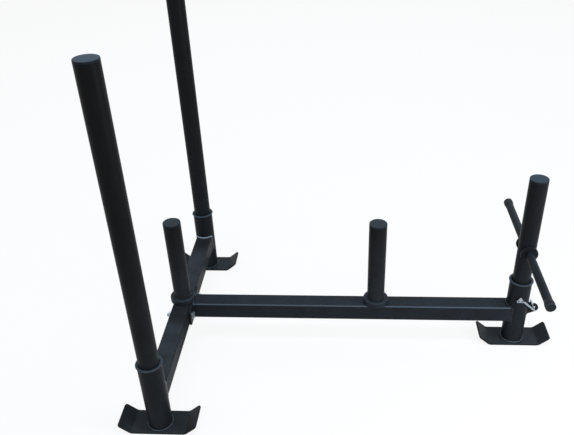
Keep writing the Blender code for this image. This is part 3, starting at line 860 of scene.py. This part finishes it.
def cap_material(name, dark, light, sheen_colour, axis, sheen_tilts, dull, shiny, specular):
    """Moulded plastic. Its grain makes it matter than the coat beside it. A painted sheen turns it
    paler where it faces along one axis, by the tilts where that starts, is full, fades and stops."""
    made, tree, shader, tint = mottled_finish(
        name, dark, light, shiny, dull, patch_width=24 * MM, grain_width=0.9 * MM,
        grain_depth=0.02 * MM)
    normal = node(tree, "NewGeometry").outputs["Normal"]
    along = node(tree, "SeparateXYZ", {0: normal}).outputs[axis]
    faced = node(tree, "Math", {0: along}, operation="ABSOLUTE")
    share = tilt_share(tree, faced, *sheen_tilts)
    sheened = node(tree, "Mix", {0: share, 6: tint, 7: colour(sheen_colour)}, data_type="RGBA")
    tree.links.new(sheened.outputs[2], shader.inputs["Base Color"])
    shader.inputs["Specular IOR Level"].default_value = specular
    return made


# The painted sheen covers the whole top, so the last two of its tilts are out of reach.
top_sheen = (0.45, 0.97, 1.5, 2.0)
sheened_polyethylene = cap_material(
    "moulded black polyethylene", "#1d2125", "#24292e", "#35414a", "Z",
    top_sheen, dull=0.48, shiny=0.40, specular=0.03)
# The weight posts' caps get a greyer, fainter painted sheen.
greyer_sheened_polyethylene = cap_material(
    "moulded black polyethylene with a greyer painted sheen", "#1d2023", "#24282b", "#30373c", "Z",
    top_sheen, dull=0.48, shiny=0.42, specular=0.03)


def end_cap(stands_for, body, finish=sheened_polyethylene):
    """The gate mark, the crowned top and its round edge, then the plug's walls and its hollow."""
    low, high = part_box(stands_for)
    outer = (high.x - low.x) / 2
    place = foot_of(low, high) + Vector((0, 0, plug_depth))
    shoulder = high.z - (low.z + plug_depth) - crown_sink
    peak = shoulder + cap_crown
    flat = outer - cap_edge
    plug = outer - post_wall - plug_play
    hollow = plug - plug_wall
    profile = [(mark_radius * hub_share, peak - mark_depth), (mark_floor, peak - mark_depth),
               (mark_radius, peak - mark_rim)]
    for k in range(1, crown_steps + 1):
        radius = mark_radius + (flat - mark_radius) * k / crown_steps
        profile.append((radius, shoulder + cap_crown * (1 - (radius / flat) ** 2)))
    profile += fillet(cap_edge, 90, 0, (flat, shoulder - cap_edge), steps=7)[1:]
    profile += [(outer, cap_ease), (outer - cap_ease, 0), (plug, 0), (plug, plug_lead - plug_depth),
                (plug - plug_taper, -plug_depth), (hollow, -plug_depth), (hollow, -plug_roof),
                (hollow * hub_share, -plug_roof)]
    piece(turned(profile, place, loop=False), f"{stands_for}_moulding", finish, stands_for, body)


for position in ("rear", "mid"):
    end_cap(f"weight_post_cap_{position}", "sled_frame", greyer_sheened_polyethylene)


# Push posts and front post: long tubes that stand loose in the sockets and lift straight out. They
# are coated all over, inside the sockets too.

for side in ("left", "right"):
    upright(f"push_post_{side}", f"{side}_push_post")
    end_cap(f"push_post_{side}_cap", f"{side}_push_post")
upright("front_post", "front_handle_post")
end_cap("front_post_cap", "front_handle_post")


# Handle bar: a thin tube through the front post, held by a disc on each side of it. Each end wears
# a dipped vinyl cap with a feathered mouth and a painted highlight round its rim. It is a low grip
# to push from behind.

handle_wall = 2 * MM
handle_ease = 0.3 * MM
collar_edge = 1 * MM
handle_cap_wall = 1.5 * MM
dome_radius = 1.1 * handle_cap_wall
dome_drop = 0.15 * MM
feather = 11 * MM
bar_sides, disc_sides = 64, 72
ALONG_Y = Matrix.Rotation(radians(-90), 4, "X")
AGAINST_Y = Matrix.Rotation(radians(90), 4, "X")

# A painted highlight makes the vinyl paler on the round rim of its end, where it faces along the
# bar.
soft_vinyl = cap_material("dipped black vinyl", "#191c1f", "#1e2226", "#40464c", "Y",
                          (0.10, 0.40, 0.80, 0.97), dull=0.50, shiny=0.40, specular=0.08)

low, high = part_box("handle_bar")
bar_radius = (high.z - low.z) / 2
bar_low = Vector(((low.x + high.x) / 2, low.y, (low.z + high.z) / 2))
profile = tube_profile(bar_radius, high.y - low.y, handle_wall, handle_ease)
piece(turned(profile, bar_low, sides=bar_sides, turn=ALONG_Y), "handle_bar_tube", powder_coat,
      "handle_bar", "front_handle_post")


def on_handle(node_name, side):
    """The inner end, the radius and the length of a piece on the left or right arm."""
    low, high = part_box(node_name)
    base = Vector((bar_low.x, low.y if side == "left" else high.y, bar_low.z))
    return base, (high.z - low.z) / 2, high.y - low.y


for side, turn in (("left", ALONG_Y), ("right", AGAINST_Y)):
    base, rim, thick = on_handle(f"handle_collar_{side}", side)
    bore = bar_radius + handle_ease
    profile = [(rim - handle_ease, 0), (rim, handle_ease)]
    profile += fillet(collar_edge, 0, 90, (rim - collar_edge, thick - collar_edge))
    profile += [(bore + handle_ease, thick), (bore, thick - handle_ease), (bore, 0)]
    piece(turned(profile, base, sides=disc_sides, turn=turn), f"handle_collar_{side}_disc",
          powder_coat, f"handle_collar_{side}", "front_handle_post")

    base, rim, tall = on_handle(f"handle_cap_{side}", side)
    roof = tall - handle_cap_wall
    # The dome is almost flat in its middle, and the mouth is feathered by shares of its wall.
    profile = [(rim * 0.12, tall - 0.1 * MM), (rim * 0.45, tall - 0.12 * MM)]
    inside = (rim - dome_radius, tall - dome_radius - dome_drop)
    profile += fillet(dome_radius, 90, 0, inside, steps=8)
    for thinned in (0.0, 0.10, 0.30, 0.60, 0.85):
        profile.append((rim - (rim - bore) * thinned, feather * (1 - thinned)))
    profile += [(bore, 0), (bore, roof), (bore * 0.12, roof)]
    piece(turned(profile, base, loop=False, sides=disc_sides, turn=turn),
          f"handle_cap_{side}_dipped", soft_vinyl, f"handle_cap_{side}", "front_handle_post")


# Tow tab: a thick plate with a round nose and one drilled hole, welded upright on the front socket.
# A strap or chain hooks into it.

tab_edge = 0.7 * MM
tab_nose = 12.5 * MM
tab_rise = 18 * MM
tab_drop = 21 * MM
tab_hole = 12 * MM
nose_steps = 40
root_corner = 0.8 * MM
root_cuts = 90

low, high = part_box("tow_tab")
tab_middle = (low.y + high.y) / 2
tab_half = (high.y - low.y) / 2
hole = Vector((high.x - tab_nose, tab_middle, low.z + tab_drop))
root = low.x - hole.x


def nose_angle(corner, radius):
    """Where the straight edge from a corner of the tab's root meets its round nose, in degrees."""
    turn = acos(radius / corner.length)
    return degrees(atan2(corner.y, corner.x) - copysign(turn, corner.y))


def tab_outline(inset):
    """(forward, up) points round the tab, from its upper edge round the nose to its root."""
    upper, lower = Vector((root, tab_rise - inset)), Vector((root, inset - tab_drop))
    radius = tab_nose - inset
    arc = fillet(radius, nose_angle(upper, radius), nose_angle(lower, radius), steps=nose_steps)
    return [Vector(pair) for pair in arc] + [lower, upper]


def cut(blank, tool, operation="DIFFERENCE"):
    """Cuts or joins one skin into another, and leaves a skin."""
    blank, tool = object_of(blank, "blank"), object_of(tool, "tool")
    modifier = blank.modifiers.new("cut", "BOOLEAN")
    modifier.operation = operation
    modifier.object = tool
    modifier.solver = "EXACT"
    bpy.context.view_layer.update()
    result = blank.evaluated_get(bpy.context.evaluated_depsgraph_get())
    made = bmesh.new()
    made.from_mesh(result.to_mesh())
    for used in (blank, tool):
        bpy.data.objects.remove(used)
    return made


def drill(radius, half_depth, place, sides):
    """A drill across the sled that also takes the sharp edge off both ends of its hole."""
    flare, past, inside = 0.6 * MM, 0.3 * MM, 0.4 * MM
    profile = [(radius + flare, -half_depth - past), (radius, -half_depth + inside),
               (radius, half_depth - inside), (radius + flare, half_depth + past)]
    return turned(profile, place, loop=False, sides=sides, turn=ALONG_Y)


rings = []
for y, inset in eased(-tab_half, tab_half, tab_edge):
    rings.append([hole + Vector((p.x, y, p.y)) for p in tab_outline(inset)])
tab = cut(skin(rings), drill(tab_hole / 2, tab_half, hole, sides=64))
piece(tab, "tow_tab_plate", powder_coat, "tow_tab")

root_route = []
root_half = (tab_rise + tab_drop) / 2
root_lift = (tab_rise - tab_drop) / 2
for point, out in section_route(tab_half, root_half, root_corner, root_cuts):
    y = tab_middle + point.x
    x = front_centre.x + saddle_end(y, front_outer)
    place = Vector((x, y, hole.z + root_lift + point.y))
    radial = Vector((x - front_centre.x, y, 0)).normalized()
    up = along_socket(Vector((0, out.x, out.y)), radial)
    root_route.append((place, Vector((1, 0, 0)), up))
weld_bead("weld_tow_tab", even_route(root_route), leg=small_weld_leg)


# Snap hook: one 6 mm rod, bent through the tab's hole and back over its edge, with a triangular eye
# at one end for a strap. Two ears at its lower bend carry the gate. All of it is zinc-plated steel.

wire = 3 * MM
hook_lean = radians(22)
side_clearance = 2.8 * MM
gate_room = 5.4 * MM
edge_clearance = 1.0 * MM
bend_radius = 5.5 * MM
hook_run = 49 * MM
hook_rise = 50.3 * MM
eye_side = 22 * MM
eye_thickness = 4 * MM
eye_corner = 2.2 * MM
eye_edge = 0.8 * MM
eye_hole = 4.2 * MM
eye_spacing = 9.2 * MM
eye_setback = 8.1 * MM
eye_lift = 3.1 * MM
pin_radius = 0.8 * MM
pin_edge = 0.25 * MM
barrel_radius = 1.9 * MM
ear_thickness = 1.0 * MM
pivot_offset = 4.6 * MM
hook_play = 0.3 * MM

joint_place = {joint["name"]: Vector(joint["pos_m"]) for joint in frame["joints"]
               if "pos_m" in joint}
hook_pivot = joint_place["hook_swing"]
gate_pivot = joint_place["gate_open"]

loop_up = Vector((-sin(hook_lean), 0, cos(hook_lean)))
across = Vector((0, 1, 0))
loop_normal = across.cross(loop_up)
loop_far = tab_half + side_clearance + wire
loop_near = -(tab_half + gate_room + wire)
edge_turn = radians(nose_angle(Vector((root, tab_rise)), tab_nose))
edge_normal = Vector((cos(edge_turn), 0, sin(edge_turn)))
pivot_drop = hole.z - hook_pivot.z
over_edge = tab_nose + pivot_drop * edge_normal.z + edge_clearance + wire
loop_height = over_edge / loop_up.dot(edge_normal)


def in_loop(s, t):
    """A place in the loop's plane: s across the tab, t up from the rod in the hole."""
    return hook_pivot + across * s + loop_up * t


def bend(before, corner, after, radius, steps=14):
    """Points along the round bend of a rod at one corner of its route."""
    inward = (before - corner).normalized()
    outward = (after - corner).normalized()
    half = inward.angle(outward) / 2
    centre = corner + (inward + outward).normalized() * (radius / sin(half))
    first = (corner + inward * (radius / tan(half)) - centre).normalized()
    last = (corner + outward * (radius / tan(half)) - centre).normalized()
    return [centre + first.slerp(last, i / steps) * radius for i in range(steps + 1)]


def swept(points, radii, sides=28):
    """A round rod along a route, with a radius at each point and no twist."""
    count = len(points)
    side = (points[1] - points[0]).normalized().orthogonal().normalized()
    turns = [2 * pi * k / sides for k in range(sides)]
    rings = []
    for i in range(count):
        tangent = (points[min(i + 1, count - 1)] - points[max(i - 1, 0)]).normalized()
        side = (side - tangent * side.dot(tangent)).normalized()
        other = tangent.cross(side)
        rings.append([points[i] + radii[i] * (side * cos(turn) + other * sin(turn))
                      for turn in turns])
    return skin(rings)


shank_start = in_loop(loop_near, 0)
to_socket = Vector((front_centre.x - hook_pivot.x, -loop_near, 0))
heading = atan2(to_socket.y, to_socket.x)
heading += asin((front_outer + wire + weld_gap) / to_socket.length)
shank_level = Vector((cos(heading), sin(heading), 0))
shank_end = shank_start + shank_level * hook_run + Vector((0, 0, hook_rise))
shank = (shank_end - shank_start).normalized()

# The tip is rounded: (how far in, radius), both in rod radii. The other end is forged thinner where
# it runs into the eye.
tip_shape = [(0.0, 0.30), (0.04, 0.62), (0.12, 0.80), (0.24, 0.92), (0.40, 1.0)]
tip = in_loop(loop_near + wire / 2, loop_height)
points = [tip + across * (wire * inset) for inset, _ in tip_shape]
radii = [wire * share for _, share in tip_shape]
corners = [tip, in_loop(loop_far, loop_height), in_loop(loop_far, 0), shank_start, shank_end]
for before, corner, after in zip(corners, corners[1:], corners[2:]):
    points += bend(before, corner, after, bend_radius)
points += [shank_end - shank * eye_thickness * 2, shank_end]
radii += [wire] * (len(points) - len(radii) - 1) + [eye_thickness * 0.4]
hook = swept(points, radii)

eye_centre = shank_end + Vector((-eye_setback, 0, eye_lift))
eye_low = -eye_side * sqrt(3) / 6
eye_top = eye_low + eye_side * sqrt(3) / 2


def eye_outline(inset):
    """A triangle with round corners and a level lower edge."""
    low, high = eye_low + inset, eye_top - 2 * inset
    reach = eye_side / 2 - inset * sqrt(3)
    corners = [Vector((-reach, 0, low)), Vector((reach, 0, low)), Vector((0, 0, high))]
    outline = []
    for i in range(3):
        outline += bend(corners[i - 1], corners[i], corners[(i + 1) % 3], eye_corner - inset / 2, 8)
    return outline


eye_half = eye_thickness / 2
eye_round = eye_edge * 0.3
one_face = [(eye_half, eye_edge), (eye_half - eye_round, eye_round), (eye_half - eye_edge, 0)]
rings = []
for y, inset in [(-y, inset) for y, inset in one_face] + one_face[::-1]:
    rings.append([eye_centre + point + Vector((0, y, 0)) for point in eye_outline(inset)])
eye = skin(rings)
for offset in (-eye_spacing / 2, eye_spacing / 2):
    place = eye_centre + Vector((offset, 0, eye_low + eye_hole))
    eye = cut(eye, drill(eye_hole / 2, eye_half, place, sides=40))
hook = cut(hook, eye, "UNION")

loop_frame = Matrix((across, loop_up, loop_normal)).transposed().to_4x4()


def boss(left, right, low, high, thick, radius):
    """A block in the loop's plane round the gate's pivot, with round corners."""
    middle = Vector(((right + left) / 2, (high + low) / 2))
    half_width, half_height = (right - left) / 2, (high - low) / 2
    outline = [p + middle for p in round_rectangle(half_width, half_height, radius)]
    faces = [[Vector((p.x, p.y, z)) for p in outline] for z in (-thick, thick)]
    return skin(laid(faces, gate_pivot, loop_frame))


def about_pin(profile, sides=32):
    """A piece or a tool turned about the gate's pin."""
    return turned(profile, gate_pivot, loop=False, sides=sides, turn=loop_frame)


ears = boss(-pivot_offset, barrel_radius, -barrel_radius, barrel_radius, wire - hook_play,
            radius=0.6 * barrel_radius)
slot_half = wire - ear_thickness - hook_play
slot_reach = barrel_radius + hook_play
slot = boss(-slot_reach, slot_reach, -slot_reach, 2 * slot_reach, slot_half,
            radius=0.9 * slot_reach)
pin_hole = [(pin_radius + hook_play, -2 * wire), (pin_radius + hook_play, 2 * wire)]
hook = cut(cut(cut(hook, ears, "UNION"), slot), about_pin(pin_hole))
piece(hook, "snap_hook_forged", zinc_plate, "snap_hook", "hook")

profile = [(pin_radius - inset, z) for z, inset in eased(-wire, wire, pin_edge)]
piece(about_pin(profile), "gate_pin_rivet", zinc_plate, "gate_pin", "hook")


# Hook gate: a small barrel on the pin with an arm that a hidden spring presses against the hook's
# tip from inside. It is zinc plated like the hook.

gate_wire = 1.2 * MM
arm_gap = 0.6 * MM
barrel_edge = 0.2 * MM

# The arm's end is rounded: (share of its length, share of its radius).
arm_shape = [(0.0, 1.0), (0.3, 1.0), (0.6, 1.0), (0.93, 1.0), (0.97, 0.9), (0.99, 0.75), (1.0, 0.6)]
arm = in_loop(loop_near + wire, loop_height - wire - arm_gap) - gate_pivot
gate = swept([gate_pivot + arm * along for along, _ in arm_shape],
             [gate_wire * share for _, share in arm_shape], sides=24)
barrel_half = slot_half - hook_play
barrel = [(barrel_radius - inset, z) for z, inset in eased(-barrel_half, barrel_half, barrel_edge)]
gate = cut(cut(gate, about_pin(barrel, sides=48), "UNION"), about_pin(pin_hole))
piece(gate, "hook_gate_sprung", zinc_plate, "hook_gate", "gate")
